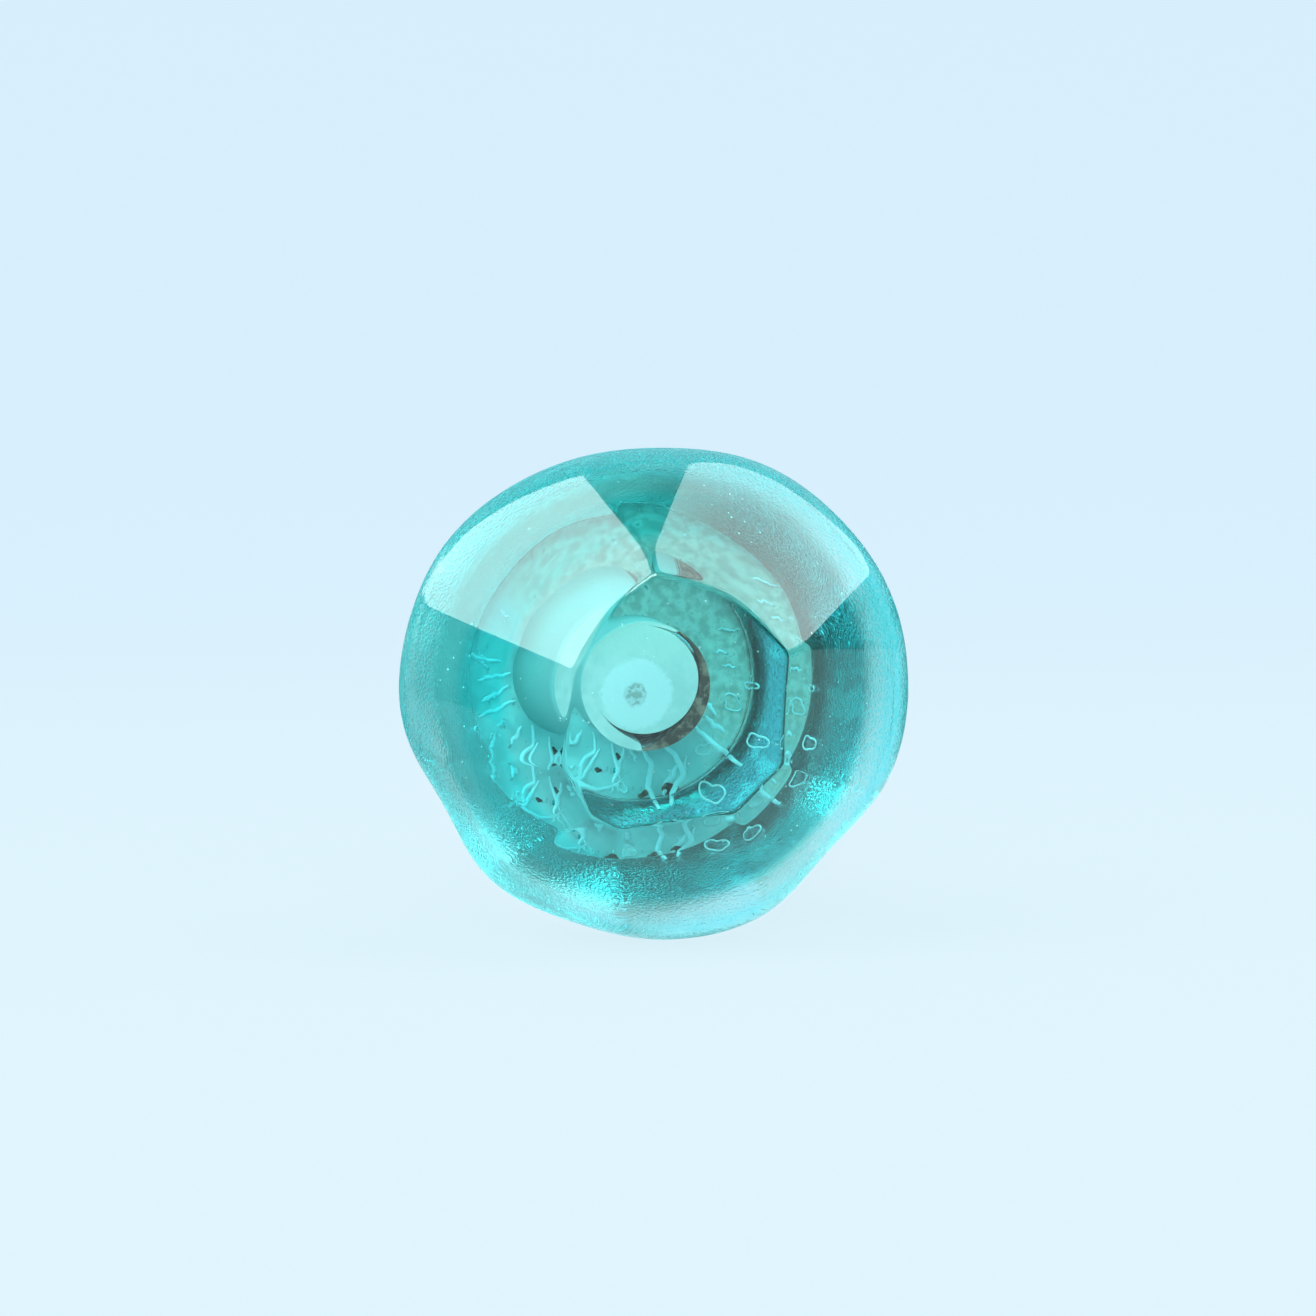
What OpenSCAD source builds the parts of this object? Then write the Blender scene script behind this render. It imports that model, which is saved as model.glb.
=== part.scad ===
// Faceted glass cabinet knob with its through screw and fixings.
// The sub-parts are drawn along +Z, from the rear face of the foot at z = 0 forwards,
// and mounted() turns them so that the front looks along -Y and +Z is up.

/* [Glass head] */
// Diameter of the glass across its rounded rim
head_d = 40.6; // [36:0.2:50]
// Thickness of the glass from its back to the flat table on the front
glass_h = 19.3; // [17:0.1:24]
// Height of the middle of the rim above the glass's back
rim_rise = 8.2; // [7:0.1:9]
// Radius of the rounded rim
rim_round = 2.2; // [1.6:0.1:2.6]
// Distance that the hand-ground rim sits to the right of the screw's axis
head_shift_x = 1.6; // [-2:0.1:2]
// Distance that the hand-ground rim sits above the screw's axis
head_shift_y = -1; // [-2:0.1:2]
// Slope of the glass's back near the rim
rim_slope = 12; // [5:1:18]
// Width of that shallow slope inside the rim
rim_ledge = 2.6; // [2:0.1:3.5]
// Radius of the neck at the back of the glass
neck_r = 9.7; // [8:0.1:10.5]
// Thickness of glass between the table and the end of the socket
front_glass = 8.5; // [6:0.5:11]

/* [Setting] */
// Thickness of cement round the screw head
plug_wall = 0.7; // [0.6:0.05:1.2]
// Gap between the cement plug and the socket when they are centred
plug_gap = 0.8; // [0.6:0.05:1.2]
// Distance that the plug sits to one side of the socket
plug_offset = 0.5; // [0:0.05:0.55]
// Direction of that offset, anticlockwise from the right
plug_turn = 100; // [0:5:355]
// Thickness of the clear resin under the glass
resin_t = 0.4; // [0.3:0.05:0.8]
// Gap between the glass neck and the cup
neck_gap = 0.2; // [0.1:0.05:0.5]
// Thickness of the cup's sheet metal
cup_t = 0.8; // [0.6:0.1:1.2]
// Height of the cup's wall above its floor
cup_lip = 1.8; // [1.2:0.1:2]

/* [Base] */
// Height of the turned base from the drawer face to the cup
base_h = 11; // [10:0.5:12]
// Radius of the foot flange
foot_r = 9; // [8:0.1:12]
// Thickness of the foot flange's straight edge
foot_edge = 1.4; // [1:0.1:2]
// Thickness of metal outside the recess at the waist
waist_wall = 1; // [0.8:0.1:2]
// Radius of the shoulder under the cup
shoulder_r = 7.6; // [7:0.1:9]
// Thickness of the shoulder's straight edge
shoulder_edge = 1; // [0.8:0.1:1.6]
// Clearance round the lock nut's corners in its recess
recess_clearance = 0.55; // [0.3:0.05:1]
// Depth of the recess for the lock nut
recess_depth = 3.4; // [2.8:0.1:4]

/* [Screw and fixings] */
// Radius of the screw thread
thread_r = 2; // [1.75:0.25:2.25]
// Length of the screw under its head
screw_length = 60; // [50:5:80]
// Radius of the cheese head
screw_head_r = 3.5; // [3.25:0.05:3.7]
// Height of the cheese head
screw_head_h = 2.6; // [2:0.1:3.2]
// Width across the flats of both nuts
nut_af = 7; // [7:0.5:7.5]
// Thickness of the fixing nut
nut_h = 3.2; // [2.4:0.1:4]
// Thickness of the lock nut
lock_nut_h = 2.2; // [1.8:0.1:2.4]
// Outer radius of the flat washer
washer_r = 4.5; // [4:0.1:6]
// Thickness of the flat washer
washer_t = 0.8; // [0.5:0.1:1]
// Outer radius of the spring washer
spring_washer_r = 3.8; // [3.4:0.1:4.2]
// Thickness of the spring washer
spring_washer_t = 1.2; // [0.9:0.1:1.6]
// Width of the split in the spring washer
split_w = 0.8; // [0.5:0.1:1.2]
// Thickness of the drawer front that the knob is set for
drawer_front = 18; // [12:1:22]

/* [Clearances] */
// Radial clearance of a nut on the thread
nut_clearance = 0.05; // [0.02:0.01:0.1]
// Radial clearance of a washer, the base and the cup on the thread
hole_clearance = 0.15; // [0.1:0.05:0.3]

/* [Hidden] */
$fn = 96;

// Hand-ground facets: bearing anticlockwise from +X as the knob is seen from the front,
// slope down from the table, and height above the rim's middle where each meets the rim
broad_facets = [[356, 42, 0.4], [39, 43.5, 0.5], [77.5, 44, 0.7], [121, 44.5, 0.65],
                [155, 41.5, 0.6], [209, 46.5, 0.1], [278, 43.5, 0.2]];
narrow_facets = [[19, 44.5, 0.6], [93.5, 48.5, 0.2], [175, 43, 0.1], [244, 48.5, 0.1], [315, 44.5, 0.1]];
// Flats that hand grinding left on the rim: bearing, and how far each lies inside the rim
rim_flats = [[88, 0.9], [210, 1.3], [266, 0.8], [315, 1.2]];

head_r = head_d / 2;
cup_floor_z = base_h;
glass_back_z = cup_floor_z + cup_t + resin_t;
rim_z = glass_back_z + rim_rise;
table_z = glass_back_z + glass_h;
plug_r = screw_head_r + plug_wall;
socket_r = plug_r + plug_gap;
nut_corner_r = nut_af / 2 / cos(30);
recess_r = nut_corner_r + recess_clearance;
waist_r = recess_r + waist_wall;
cup_top_z = cup_floor_z + cup_t + cup_lip;
flare_z = cup_top_z + 0.2;
socket_end_z = table_z - front_glass;
seat_z = socket_end_z - screw_head_h;
tip_z = seat_z - screw_length;
cup_r = neck_r + neck_gap + cup_t;
nut_hole_r = thread_r + nut_clearance;
hole_r = thread_r + hole_clearance;
washer_z = -drawer_front - washer_t;
spring_washer_z = washer_z - spring_washer_t;
fixing_nut_z = spring_washer_z - nut_h;
arc_steps = 12;
tip_chamfer = 0.8;
head_chamfer = 0.5;
edge_break = 0.3;
nut_chamfer = 30;
spring_washer_tilt = 12;
cutter = 3 * head_r;

// Points on an ellipse of half-widths a and b round (cr, cz), from angle a0 to a1
function ellipse_arc(cr, cz, a, b, a0, a1) =
    [for (i = [0 : arc_steps])
        let (t = a0 + (a1 - a0) * i / arc_steps)
        [cr + a * cos(t), cz + b * sin(t)]];

module mounted() rotate([90, 0, 0]) children();

// The back is steep from the neck to the knee, and shallow from there to the rim's round
rim_back_angle = 90 - rim_slope;
knee_r = head_r - rim_round + rim_round * cos(rim_back_angle) - rim_ledge;
knee_z = rim_z - rim_round * sin(rim_back_angle) - rim_ledge * tan(rim_slope);
rim = ellipse_arc(head_r - rim_round, rim_z, rim_round, rim_round, -rim_back_angle, 30);

module glass_blank() {
    translate([0, 0, glass_back_z]) cylinder(r = neck_r, h = rim_rise);
    translate([head_shift_x, head_shift_y, 0])
        rotate_extrude()
            polygon(concat([[0, flare_z], [neck_r, flare_z], [knee_r, knee_z]], rim,
                           [[head_r - rim_round, table_z], [0, table_z]]));
}

// Everything beyond a plane that meets the rim at rise above its middle and climbs at slope
module facet_cut(bearing, rise, slope) {
    rotate([0, 0, bearing])
        translate([head_r, 0, rim_z + rise])
            rotate([0, slope, 0])
                translate([-cutter / 2, -cutter / 2, 0])
                    cube(cutter);
}

module glass_head() {
    color([0.35, 0.82, 0.80, 0.8])
        mounted()
            difference() {
                glass_blank();
                translate([head_shift_x, head_shift_y, 0]) {
                    for (f = concat(broad_facets, narrow_facets)) facet_cut(f[0], f[2], f[1]);
                    for (f = rim_flats)
                        rotate([0, 0, f[0]])
                            translate([head_r - f[1], -cutter / 2, 0])
                                cube(cutter);
                }
                translate([0, 0, glass_back_z - 1])
                    cylinder(r = socket_r, h = socket_end_z - glass_back_z + 1);
            }
}

module screw_solid() {
    rotate_extrude()
        polygon([[0, tip_z], [thread_r - tip_chamfer, tip_z], [thread_r, tip_z + tip_chamfer],
                 [thread_r, seat_z], [screw_head_r, seat_z],
                 [screw_head_r, socket_end_z - head_chamfer],
                 [screw_head_r - head_chamfer, socket_end_z], [0, socket_end_z]]);
}

module screw() {
    color([0.62, 0.62, 0.60]) mounted() screw_solid();
}

module socket_cement() {
    color([0.86, 0.93, 0.90])
        mounted()
            difference() {
                rotate([0, 0, plug_turn])
                    translate([plug_offset, 0, glass_back_z])
                        cylinder(r = plug_r, h = socket_end_z - glass_back_z);
                screw_solid();
            }
}

module resin_bed() {
    color([0.75, 0.9, 0.88, 0.8])
        mounted()
            translate([0, 0, cup_floor_z + cup_t])
                difference() {
                    cylinder(r = neck_r, h = resin_t);
                    translate([0, 0, -1]) cylinder(r = thread_r, h = resin_t + 2);
                }
}

module collar_cup() {
    color([0.66, 0.68, 0.66])
        mounted()
            rotate_extrude()
                polygon([[hole_r, cup_floor_z], [cup_r - cup_t, cup_floor_z],
                         [cup_r, cup_floor_z + cup_t], [cup_r, cup_top_z],
                         [cup_r - cup_t, cup_top_z], [cup_r - cup_t, cup_floor_z + cup_t],
                         [hole_r, cup_floor_z + cup_t]]);
}

// The waist is half of an ellipse between the two straight edges
waist_mid_z = (foot_edge + base_h - shoulder_edge) / 2;
waist_half_h = (base_h - shoulder_edge - foot_edge) / 2;
foot_curve = ellipse_arc(foot_r, waist_mid_z, foot_r - waist_r, waist_half_h, 270, 180);
shoulder_curve = ellipse_arc(shoulder_r, waist_mid_z, shoulder_r - waist_r, waist_half_h, 180, 90);

module base_stem() {
    color([0.70, 0.70, 0.68])
        mounted()
            rotate_extrude()
                polygon(concat([[hole_r, recess_depth], [recess_r, recess_depth], [recess_r, 0],
                                [foot_r - edge_break, 0], [foot_r, edge_break]],
                               foot_curve, shoulder_curve,
                               [[shoulder_r, base_h], [hole_r, base_h]]));
}

// A nut with both faces chamfered to the flats, standing on z = 0
module hex_nut(h) {
    chamfer_h = (nut_corner_r - nut_af / 2) * tan(nut_chamfer);
    difference() {
        intersection() {
            rotate([0, 0, 30]) cylinder(r = nut_corner_r, h = h, $fn = 6);
            rotate_extrude()
                polygon([[0, 0], [nut_af / 2, 0], [nut_corner_r, chamfer_h],
                         [nut_corner_r, h - chamfer_h], [nut_af / 2, h], [0, h]]);
        }
        translate([0, 0, -1]) cylinder(r = nut_hole_r, h = h + 2);
    }
}

module lock_nut() {
    color([0.74, 0.74, 0.72])
        mounted()
            translate([0, 0, recess_depth - lock_nut_h])
                hex_nut(lock_nut_h);
}

module flat_washer() {
    color([0.76, 0.76, 0.74])
        mounted()
            translate([0, 0, washer_z])
                difference() {
                    cylinder(r = washer_r, h = washer_t);
                    translate([0, 0, -1]) cylinder(r = hole_r, h = washer_t + 2);
                }
}

module spring_washer() {
    color([0.45, 0.45, 0.46])
        mounted()
            translate([0, 0, spring_washer_z])
                difference() {
                    cylinder(r = spring_washer_r, h = spring_washer_t);
                    translate([0, 0, -1]) cylinder(r = hole_r, h = spring_washer_t + 2);
                    rotate([-spring_washer_tilt, 0, 0])
                        translate([0, -split_w / 2, -spring_washer_t])
                            cube([2 * spring_washer_r, split_w, 4 * spring_washer_t]);
                }
}

module fixing_nut() {
    color([0.74, 0.74, 0.72])
        mounted()
            translate([0, 0, fixing_nut_z])
                hex_nut(nut_h);
}

glass_head();
socket_cement();
resin_bed();
screw();
collar_cup();
base_stem();
lock_nut();
flat_washer();
spring_washer();
fixing_nut();
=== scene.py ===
"""Looks of a faceted glass cabinet knob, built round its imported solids.

Shapes are worked out in millimetres in the knob's own frame: x to the right and y up as the knob is
seen from the front, and z forwards from the rear face of the foot. to_row() turns that into the
frame of the solids, where the front looks along -Y and +Z is up.
"""

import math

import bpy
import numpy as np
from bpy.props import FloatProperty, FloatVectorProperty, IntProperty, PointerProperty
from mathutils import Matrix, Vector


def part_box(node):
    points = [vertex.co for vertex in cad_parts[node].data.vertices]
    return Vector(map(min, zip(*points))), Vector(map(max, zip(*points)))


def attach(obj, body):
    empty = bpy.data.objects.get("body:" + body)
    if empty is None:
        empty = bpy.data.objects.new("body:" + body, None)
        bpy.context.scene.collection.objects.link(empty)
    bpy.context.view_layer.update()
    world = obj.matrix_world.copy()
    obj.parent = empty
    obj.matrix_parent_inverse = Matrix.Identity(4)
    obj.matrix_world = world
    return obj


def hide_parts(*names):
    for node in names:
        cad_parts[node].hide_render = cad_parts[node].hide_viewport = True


bl_info = {
    "name": "Faceted Glass Cabinet Knob",
    "version": (1, 0, 0),
    "blender": (4, 5, 0),
    "location": "View3D > Sidebar > Knob",
    "description": "Builds a hand-ground glass cabinet knob with its cup, foot, screw and fixings",
    "category": "Add Mesh",
}

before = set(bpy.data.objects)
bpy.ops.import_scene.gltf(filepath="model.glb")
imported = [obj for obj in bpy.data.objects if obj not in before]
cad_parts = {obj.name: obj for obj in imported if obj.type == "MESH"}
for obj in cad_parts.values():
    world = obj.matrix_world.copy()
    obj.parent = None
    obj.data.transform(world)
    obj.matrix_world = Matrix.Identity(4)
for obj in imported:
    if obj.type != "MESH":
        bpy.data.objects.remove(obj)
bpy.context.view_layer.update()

MM = 0.001
TAU = 2 * math.pi


def span(node):
    """How far a node reaches: (back z, front z, half of its height) in millimetres."""
    low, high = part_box(node)
    return -high.y / MM, -low.y / MM, (high.z - low.z) / 2 / MM


GLASS_BACK, TABLE, _ = span("glass_head")
TIP, SOCKET_END, _ = span("screw")
RESIN_BACK, _, NECK_R = span("resin_bed")
CUP_BACK, CUP_TOP, CUP_R = span("collar_cup")
_, BASE_TOP, FOOT_R = span("base_stem")

# Usual radius of the rim, where one value serves all round it
RIM_R = 20.0
# Radius of the hole for the screw in the cup, the foot and the washers
SCREW_HOLE = 2.15
# Height of a crack's or bubble's bright ridge
RIDGE_HEIGHT = 0.16
# Middle of the pale spot over the screw's head, a painted highlight for the head's lit face, in metres
HEAD_HIGHLIGHT = (-0.75 * MM, -0.6 * MM)
# Facets as they were ground. Those in one group run softly into each other.
# Each is (bearing, slope down from the table, reach of the table's edge from the rim's middle).
FACET_GROUPS = (
    ((356, 42.0, 8.4),),
    ((19, 44.7, 9.7),),
    ((39, 43.7, 9.2), (77.5, 44.1, 9.6)),
    ((93.5, 48.4, 10.65),),
    ((121, 44.6, 9.7), (155, 41.7, 8.5)),
    ((175, 43.0, 8.35),),
    ((209, 46.5, 9.9),),
    ((244, 48.9, 10.5),),
    ((278, 43.4, 8.8),),
    ((315, 44.5, 9.1),),
)
# Cracks in the resin and on the flare round it: width from 0 to 1, then points as (bearing, radius)
CRACKS = (
    (0.4, ((172, 6.3), (171, 9.9))),
    (0.6, ((180, 5.3), (184, 8.4))),
    (0.6, ((191, 5.6), (196, 8.3))),
    (0.5, ((205, 5.3), (203, 8.9))),
    (0.8, ((233, 5.3), (243, 6.5), (238, 7.6), (242, 9.2), (252, 9.5), (263, 8.5))),
    (0.6, ((253, 5.4), (262, 7.6), (264, 5.6))),
    (0.6, ((245, 6.2), (242, 9.0), (232, 10.2))),
    (0.5, ((262, 6.6), (260, 8.5))),
    (0.5, ((270, 5.3), (273, 6.6))),
    (1.0, ((279, 5.6), (284, 7.4), (278, 8.8), (281, 10.4))),
    (1.0, ((295, 5.6), (299, 7.2), (298, 8.8), (290, 9.6), (286, 10.4))),
    (0.7, ((297, 7.9), (285, 9.6))),
    (1.0, ((322, 6.4), (320, 8.4), (321, 11.0))),
    (0.5, ((338, 5.6), (340, 6.5), (335, 7.3))),
    (0.6, ((331, 6.6), (329, 8.6))),
    (0.5, ((216, 8.2), (222, 9.6))),
    (0.5, ((226, 6.0), (228, 7.6))),
)
# Bubbles trapped beside them, as (bearing, radius, size)
BUBBLES = ((345, 8.3, 0.6), (304, 10.9, 0.72), (315, 8.2, 0.5), (265, 8.7, 0.34), (333, 11.0, 0.55),
           (238, 8.6, 0.3), (205, 9.8, 0.3), (356, 9.6, 0.3))
# Painted shadow: dark blots under the resin beside its cracks, as (bearing, radius, size)
CRACK_SHADOWS = ((260, 6.4, 0.30), (289, 9.3, 0.42), (276, 9.3, 0.28), (249, 7.8, 0.22))
# Low places in the rim's outline: bearing, depth and half-width in degrees
RIM_FLATS = ((92, 0.9, 30), (208, 1.35, 17), (250, 0.8, 26), (316, 1.2, 17))


# ---- shapes

def to_row(points):
    """Turns knob points in millimetres into the solids' frame in metres: (x, y, z) to (x, -z, y)."""
    points = np.asarray(points, float)
    return np.stack([points[..., 0], -points[..., 2], points[..., 1]], -1) * MM


def at(bearing, reach):
    """The point at a bearing in degrees and a distance from the screw's axis."""
    a = math.radians(bearing)
    return reach * math.cos(a), reach * math.sin(a)


def around(columns):
    """Evenly spaced angles round a ring."""
    return np.arange(columns) / columns * TAU


def level(angle, radius, z):
    """One row of a grid: points round the screw's axis. The radius and height may vary round it."""
    return np.stack([radius * np.cos(angle), radius * np.sin(angle), z + 0 * angle], -1)


def write_mesh(name, points, quads, triangles, smooth_angle=None):
    """Puts vertex, quad and triangle arrays into a new mesh object at the origin."""
    mesh = bpy.data.meshes.new(name)
    quads = np.asarray(quads, np.int32).reshape(-1, 4)
    triangles = np.asarray(triangles, np.int32).reshape(-1, 3)
    starts = [np.arange(len(quads)) * 4, quads.size + np.arange(len(triangles)) * 3]
    starts = np.concatenate(starts).astype(np.int32)
    mesh.vertices.add(len(points))
    mesh.vertices.foreach_set("co", to_row(points).astype(np.float32).ravel())
    mesh.loops.add(quads.size + triangles.size)
    mesh.loops.foreach_set("vertex_index", np.concatenate([quads.ravel(), triangles.ravel()]))
    mesh.polygons.add(len(starts))
    mesh.polygons.foreach_set("loop_start", starts)
    mesh.polygons.foreach_set("use_smooth", np.ones(len(starts), bool))
    mesh.update(calc_edges=True)
    if mesh.validate():
        raise RuntimeError(f"{name} has faces that don't hold")
    if smooth_angle is not None:
        mesh.set_sharp_from_angle(angle=math.radians(smooth_angle))
    piece = bpy.data.objects.new(name, mesh)
    bpy.context.scene.collection.objects.link(piece)
    return piece


def grid_faces(rows, columns, wrap_rows, wrap_columns):
    """Quads of a grid of rows x columns points, joined at the ends where it wraps."""
    i = np.arange(rows if wrap_rows else rows - 1)[:, None]
    j = np.arange(columns if wrap_columns else columns - 1)[None, :]
    i1, j1 = (i + 1) % rows, (j + 1) % columns
    corners = [i * columns + j, i1 * columns + j, i1 * columns + j1, i * columns + j1]
    return np.stack(corners, -1).reshape(-1, 4)


def capped(grid, start_pole, end_pole):
    """Points and faces of rings stacked from front to back, with a fan to a pole closing each end."""
    rows, columns = grid.shape[:2]
    points = np.concatenate([grid.reshape(-1, 3), [start_pole], [end_pole]])
    j = np.arange(columns)
    j1 = (j + 1) % columns
    base = (rows - 1) * columns
    first = np.stack([np.full(columns, len(points) - 2), j, j1], -1)
    last = np.stack([base + j, np.full(columns, len(points) - 1), base + j1], -1)
    return points, grid_faces(rows, columns, False, True), np.concatenate([first, last])


def stacked(grid):
    """Points and faces of rings stacked from front to back, closed at the middle of the end rings."""
    return capped(grid, grid[0].mean(0), grid[-1].mean(0))


def turned(name, grid, start_pole=None, end_pole=None, smooth_angle=None):
    """A surface round an axis. grid[row, column] runs from the front outwards and round to the back, and
    anticlockwise. It closes on a pole at each end, or with no poles it closes on itself as a ring."""
    if start_pole is None:
        faces = grid_faces(*grid.shape[:2], True, True)
        return write_mesh(name, grid.reshape(-1, 3), faces, [], smooth_angle)
    return write_mesh(name, *capped(grid, start_pole, end_pole), smooth_angle)


def rounded(profile, radius, steps=4, closed=True):
    """A profile with each corner replaced by a quadratic curve that starts and ends radius away from it.
    An open profile keeps its end points."""
    profile = np.asarray(profile, float)
    out = []
    count = len(profile)
    t = np.linspace(0, 1, steps + 1)[:, None]
    for k in range(count):
        corner = profile[k]
        if not closed and k in (0, count - 1):
            out.append(corner[None])
            continue
        before, after = profile[k - 1], profile[(k + 1) % count]
        a, b = before - corner, after - corner
        la, lb = np.hypot(*a), np.hypot(*b)
        a = corner + a / la * min(radius, 0.45 * la)
        b = corner + b / lb * min(radius, 0.45 * lb)
        out.append((1 - t) ** 2 * a + 2 * t * (1 - t) * corner + t ** 2 * b)
    return np.concatenate(out)


def revolve(name, profile, columns=96, centre=(0, 0), poles=False, smooth_angle=30):
    """A profile of (radius, z) carried round an axis through centre. With poles, its ends lie on the
    axis."""
    profile = np.asarray(profile, float)
    ends = (profile[0, 1], profile[-1, 1])
    if poles:
        profile = profile[1:-1]
    angle = around(columns)
    radius, z = profile[:, :1], np.repeat(profile[:, 1:], columns, 1)
    grid = np.stack([centre[0] + radius * np.cos(angle), centre[1] + radius * np.sin(angle), z], -1)
    if not poles:
        return turned(name, grid, smooth_angle=smooth_angle)
    return turned(name, grid, (*centre, ends[0]), (*centre, ends[1]), smooth_angle)


def swept(path, side, up, section, closed):
    """Points and faces of a section of (side, up) points carried along a path, with its ends filled."""
    section = np.asarray(section, float)
    grid = path[:, None] + side[:, None] * section[None, :, :1] + up[:, None] * section[None, :, 1:]
    if closed:
        return grid.reshape(-1, 3), grid_faces(*grid.shape[:2], True, True), np.zeros((0, 3), int)
    return stacked(grid)


def joined(name, parts, smooth_angle=40):
    """One object of several separate closed shapes, each (points, quads, triangles)."""
    points, quads, triangles, count = [], [], [], 0
    for part_points, part_quads, part_triangles in parts:
        points.append(part_points)
        quads.append(part_quads + count)
        triangles.append(part_triangles + count)
        count += len(part_points)
    arrays = [np.concatenate(kind) for kind in (points, quads, triangles)]
    return write_mesh(name, *arrays, smooth_angle)


def ripple(a, b, wavelength, seed, waves=9):
    """Smooth unevenness from -1 to 1: the mean of sine waves of nearly one length in seeded directions."""
    rng = np.random.default_rng(seed)
    total = np.zeros(np.broadcast(a, b).shape)
    for turn, phase, stretch in rng.random((waves, 3)):
        k = TAU / (wavelength * (0.7 + 0.8 * stretch))
        total += np.sin(k * (a * math.cos(TAU * turn) + b * math.sin(TAU * turn)) + TAU * phase)
    return total / math.sqrt(waves)


def smooth_least(heights, sharpness):
    """Smooth minimum of stacked heights: minus the log of the sum of exp(-sharpness x height), over
    sharpness."""
    low = heights.min(0)
    return low - np.log(np.exp(-sharpness * (heights - low)).sum(0)) / sharpness


def outline(angle, glass):
    """Radius of the hand-ground rim: the full radius less a bell-shaped hollow at each flat, with a slight
    wave, and a little wider from side to side than up and down."""
    degrees = np.degrees(angle)
    radius = glass.rim_diameter / MM / 2 - 0.10 * np.ones_like(angle)
    for bearing, depth, width in RIM_FLATS:
        away = (degrees - bearing + 180) % 360 - 180
        radius = radius - depth * np.exp(-(away / width) ** 2)
    radius = radius + 0.07 * np.sin(5 * angle + 1.1) + 0.05 * np.sin(9 * angle + 4.0)
    return radius * (1 + 0.010 * np.cos(angle) ** 2)


def crown_height(x, y, glass):
    """Height of the table and facets: each facet is the plane that leaves the table at its reach and falls
    with its slope, and the whole is their smooth minimum, soft inside a group and crisp between groups."""
    sheets = [np.full(x.shape, TABLE)]
    for group in FACET_GROUPS:
        planes = []
        for bearing, slope, reach in group:
            b = math.radians(bearing)
            run = x * math.cos(b) + y * math.sin(b) - reach
            planes.append(TABLE - run * math.tan(math.radians(slope)))
        several = len(planes) > 1
        sheets.append(smooth_least(np.stack(planes), glass.group_softness) if several else planes[0])
    height = smooth_least(np.stack(sheets), glass.edge_crispness)
    return height + glass.facet_wave * ripple(x, y, 9.0, 3)


def back_height(rho, radius, glass):
    """Height of the moulded back: a shallow ledge inside the rim and a steep flare to the neck, joined by a
    smooth minimum."""
    ledge_start = radius - glass.rim_depth
    z0 = glass.rim_z - glass.rim_drop
    ledge = z0 - (ledge_start - rho) * math.tan(glass.ledge_slope)
    knee = ledge_start - glass.ledge_width
    knee_z = z0 - glass.ledge_width * math.tan(glass.ledge_slope)
    flare = knee_z - (knee - rho) * (knee_z - (CUP_TOP + 0.2)) / (knee - NECK_R)
    return smooth_least(np.stack([ledge, flare]), glass.knee_crispness)


def glass_grid(glass):
    """The whole glass as one grid of rows from the table's middle over the facets, round the rim, down the
    back and neck and up the socket to its end."""
    angle = around(glass.columns)
    radius = outline(angle, glass)
    cos, sin = np.cos(angle), np.sin(angle)
    shift = np.array([*glass.rim_shift, 0]) / MM
    rim_z = glass.rim_z + 0.25 * np.sin(2 * angle + 0.8) + 0.12 * np.sin(5 * angle)
    edge = radius - glass.front_round
    rows = []

    def add(rho, z, weight=1.0):
        rows.append(level(angle, rho, z) + weight * shift)

    share = np.concatenate([np.linspace(0.02, 0.27, 8), np.linspace(0.28, 1, glass.crown_rows)])
    for t in share:
        rho = t * edge
        add(rho, crown_height(rho * cos, rho * sin, glass))
    lip = crown_height(radius * cos, radius * sin, glass)
    grain = glass.rim_wave * ripple(radius * cos, radius * sin, 3.0, 11)
    for t in np.linspace(0, math.pi / 2, 14)[1:]:
        rho = edge + glass.front_round * math.sin(t)
        top = crown_height(rho * cos, rho * sin, glass)
        blend = 1 - math.cos(t)
        add(rho, top - blend * (lip - rim_z) + grain * blend)
    for t in np.linspace(0, math.pi / 2, 12)[1:]:
        rho = radius - glass.rim_depth * (1 - math.cos(t))
        add(rho, rim_z + grain - (rim_z - glass.rim_z + glass.rim_drop + grain) * math.sin(t)
            + 0.006 * ripple(rho * cos, rho * sin, 2.0, 5))
    for t in np.linspace(0, 1, glass.back_rows)[1:]:
        rho = (1 - t) * (radius - glass.rim_depth) + t * NECK_R
        weight = 1 - t ** 3 * (10 - 15 * t + 6 * t * t)
        fade = min(1.0, 6 * (1 - t))
        x, y = rho * cos, rho * sin
        uneven = 0.006 * ripple(x, y, 1.6, 21) + 0.05 * ripple(x, y, 8.0, 22)
        add(rho, back_height(rho, radius, glass) + fade * uneven, weight)
    for z in np.linspace(CUP_TOP, GLASS_BACK, 4):
        add(NECK_R, z, 0)
    socket = glass.socket_radius / MM
    for t in np.linspace(0, 1, 4)[1:]:
        add(NECK_R + (socket - NECK_R) * t, GLASS_BACK, 0)
    for z in np.linspace(GLASS_BACK, SOCKET_END, 5)[1:]:
        add(socket, z, 0)
    for t in (0.7, 0.35, 0.05):
        add(socket * t, SOCKET_END, 0)
    middle = crown_height(np.zeros(1), np.zeros(1), glass)[0]
    return np.stack(rows), (shift[0], shift[1], middle), (0, 0, SOCKET_END)


def thread_radius(angle, z, fixings):
    """Radius of a right-hand thread: full over the crest, an eighth of the pitch wide, and falling in a
    straight flank to the root, a quarter wide. The crest runs along z = pitch x turns."""
    pitch = fixings.pitch / MM
    phase = z / pitch - angle / TAU
    away = np.abs((phase + 0.5) % 1 - 0.5) * 2
    crest, flank, depth = 0.125, 0.625, 0.6134 * pitch
    return fixings.thread_radius / MM - depth * np.clip((away - crest) / flank, 0, 1)


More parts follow.
